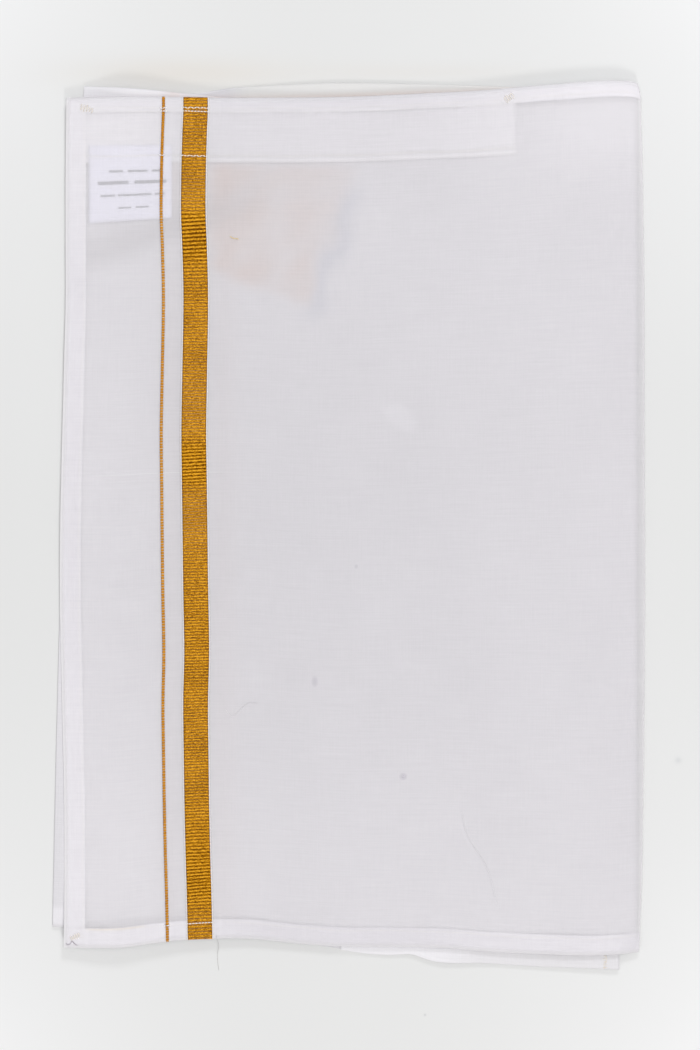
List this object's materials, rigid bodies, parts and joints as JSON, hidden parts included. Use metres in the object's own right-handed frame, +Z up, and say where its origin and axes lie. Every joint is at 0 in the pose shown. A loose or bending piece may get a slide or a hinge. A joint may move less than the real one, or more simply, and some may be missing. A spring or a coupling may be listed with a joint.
{
  "type": "folded dhoti cloth",
  "caption": "Sheer white cotton dhoti with a woven gold border, hemmed, with an inner waistband and care label, folded flat lengthways.",
  "frame": {"origin": "on the surface it lies on, under the middle of the folded cloth", "axes": "+Z up from the surface, +Y along the folds towards the waist end, +X across towards the fold that the top stretch turns round"},
  "size_m": [0.4394, 0.6583, 0.0106],
  "materials": {
    "sheer_cotton": "sheer white plain-weave cotton, softly pressed, matt",
    "hem_cotton": "the same cotton turned in twice, denser and brighter, matt",
    "zari_gold": "woven metallic gold thread with fine cross ribs, soft metallic sheen",
    "label_satin": "smooth white printed label tape"
  },
  "bodies": {
    "root": {"top_panel": "sheer_cotton", "under_layers": "sheer_cotton", "side_hem": "hem_cotton", "top_hem": "hem_cotton", "bottom_hem": "hem_cotton", "lower_bottom_hem": "hem_cotton", "zari_band": "zari_gold", "zari_line": "zari_gold", "waistband": "hem_cotton", "care_label": "label_satin"}
  },
  "joints": []
}
